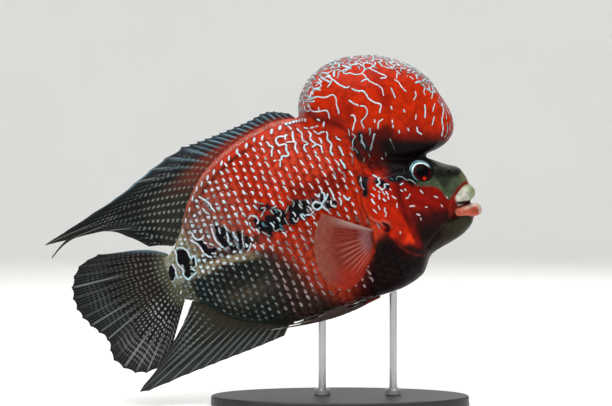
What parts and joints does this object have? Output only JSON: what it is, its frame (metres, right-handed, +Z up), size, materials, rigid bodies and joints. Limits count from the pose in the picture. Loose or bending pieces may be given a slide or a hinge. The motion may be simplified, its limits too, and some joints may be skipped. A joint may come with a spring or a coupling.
{
  "type": "flowerhorn cichlid model on a display stand",
  "caption": "Life-size flowerhorn cichlid with a large nuchal hump, thick lips and trailing fins, held nose up on two short rods over a flat oval base.",
  "frame": {"origin": "centre of the underside of the stand's oval base", "axes": "+X towards the fish's nose, +Z up, and +Y towards the fish's left side"},
  "size_m": [0.2685, 0.076, 0.2166],
  "materials": {
    "head": "glossy wet skin, orange-red cheeks and an olive snout",
    "nuchal_hump": "glossy red skin with pale blue winding lines",
    "lower_jaw": "glossy skin, orange lip over an olive chin",
    "gill_cover": "glossy orange-red skin with white dots",
    "eye": "polished, dark red iris under a clear cornea",
    "trunk": "glossy scales, red with rows of pale blue dashes and black blotches",
    "tail_stalk": "glossy scales, olive grey with pale flecks",
    "dorsal_fin": "satin, dark grey membrane with pale spots",
    "anal_fin": "satin, dark grey membrane with pale rays",
    "caudal_fin": "satin, dark grey membrane with pale spots",
    "pectoral_fin": "satin, clear pinkish membrane",
    "pelvic_fin": "satin, grey with a white leading ray",
    "stand_base": "satin black powder coat",
    "stand_rod": "brushed"
  },
  "bodies": {
    "root": {"head": "head", "nuchal_hump": "nuchal_hump", "lower_jaw": "lower_jaw", "gill_cover_left": "gill_cover", "gill_cover_right": "gill_cover", "eye_left": "eye", "eye_right": "eye", "trunk": "trunk", "tail_stalk": "tail_stalk", "dorsal_fin": "dorsal_fin", "anal_fin": "anal_fin", "caudal_fin": "caudal_fin", "pectoral_fin_left": "pectoral_fin", "pectoral_fin_right": "pectoral_fin", "pelvic_fin_left": "pelvic_fin", "pelvic_fin_right": "pelvic_fin", "stand_base": "stand_base", "stand_rod_front": "stand_rod", "stand_rod_rear": "stand_rod"}
  },
  "joints": []
}
